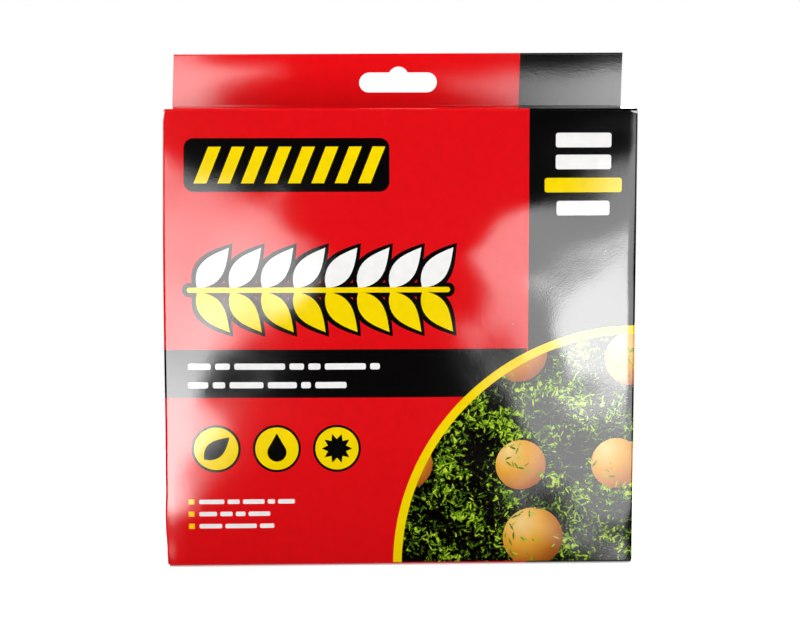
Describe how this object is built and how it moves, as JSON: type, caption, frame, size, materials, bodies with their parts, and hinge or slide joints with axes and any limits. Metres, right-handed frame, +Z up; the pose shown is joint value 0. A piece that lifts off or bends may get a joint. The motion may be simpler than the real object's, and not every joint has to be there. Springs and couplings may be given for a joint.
{
  "type": "boxed insect trap",
  "caption": "Tuck-end retail carton with a slotted hang tab, holding a flat-packed hanging insect trap with a lift-up cap, folded bag, bait sachet and cord.",
  "frame": {"origin": "middle of the carton's foot, on the surface it stands on", "axes": "+Z up towards the hang tab, -Y out of the printed front, +X to the right seen from the front"},
  "size_m": [0.195, 0.048, 0.2134],
  "materials": {
    "printed_board": "gloss-laminated folding boxboard, printed red and black outside, pale inside",
    "plain_board": "uncoated inside of folding boxboard",
    "lid_plastic": "moulded polypropylene, satin gloss",
    "cap_plastic": "moulded polypropylene, satin gloss",
    "bag_film": "clear polyethylene film, folded",
    "sachet_paper": "coated paper sachet with crimped seals",
    "cord": "twisted cotton cord",
    "leaflet_paper": "folded uncoated paper"
  },
  "bodies": {
    "carton": {"front_panel": "printed_board", "left_panel": "printed_board", "right_panel": "printed_board", "back_panel": "printed_board", "glue_flap": "plain_board", "tab_rear_ply": "printed_board", "tab_front_ply": "printed_board", "leaflet": "leaflet_paper"},
    "top_flap": {"top_panel": "printed_board"},
    "top_tuck": {"top_tongue": "printed_board"},
    "bottom_flap": {"bottom_panel": "printed_board"},
    "bottom_tuck": {"bottom_tongue": "printed_board"},
    "top_left_dust": {"top_left_dust_flap": "printed_board"},
    "top_right_dust": {"top_right_dust_flap": "printed_board"},
    "bottom_left_dust": {"bottom_left_dust_flap": "printed_board"},
    "bottom_right_dust": {"bottom_right_dust_flap": "printed_board"},
    "trap": {"lid_ring": "lid_plastic", "cap_base": "cap_plastic", "entry_sleeve": "bag_film", "bag_clamp_ring": "lid_plastic", "bag": "bag_film", "bait_sachet": "sachet_paper", "hang_cord": "cord", "cord_knots": "cord"},
    "cap": {"cap_plate": "cap_plastic", "cap_posts": "cap_plastic"}
  },
  "joints": [
    {"name": "top_flap_hinge", "type": "hinge", "parent": "carton", "child": "top_flap", "pos_m": [0, -0.02397, 0.19095], "axis": [1, 0, 0], "range_deg": [0, 179.5]},
    {"name": "top_tuck_crease", "type": "hinge", "parent": "top_flap", "child": "top_tuck", "pos_m": [0, 0.02048, 0.1904], "axis": [-1, 0, 0], "range_deg": [0, 45]},
    {"name": "bottom_flap_hinge", "type": "hinge", "parent": "carton", "child": "bottom_flap", "pos_m": [0, -0.02397, 0], "axis": [-1, 0, 0], "range_deg": [0, 179.5]},
    {"name": "bottom_tuck_crease", "type": "hinge", "parent": "bottom_flap", "child": "bottom_tuck", "pos_m": [0, 0.02048, 0.00055], "axis": [1, 0, 0], "range_deg": [0, 45]},
    {"name": "top_left_dust_crease", "type": "hinge", "parent": "carton", "child": "top_left_dust", "pos_m": [-0.0969, 0, 0.18995], "axis": [0, 1, 0], "range_deg": [0, 70]},
    {"name": "top_right_dust_crease", "type": "hinge", "parent": "carton", "child": "top_right_dust", "pos_m": [0.0969, 0, 0.18995], "axis": [0, -1, 0], "range_deg": [0, 70]},
    {"name": "bottom_left_dust_crease", "type": "hinge", "parent": "carton", "child": "bottom_left_dust", "pos_m": [-0.0969, 0, 0.001], "axis": [0, -1, 0], "range_deg": [0, 70]},
    {"name": "bottom_right_dust_crease", "type": "hinge", "parent": "carton", "child": "bottom_right_dust", "pos_m": [0.0969, 0, 0.001], "axis": [0, 1, 0], "range_deg": [0, 70]},
    {"name": "trap_shift", "type": "slide", "parent": "carton", "child": "trap", "axis": [0, 0, 1], "range_m": [0, 0.012]},
    {"name": "cap_lift", "type": "slide", "parent": "trap", "child": "cap", "axis": [0, -1, 0], "range_m": [0, 0.01]}
  ]
}
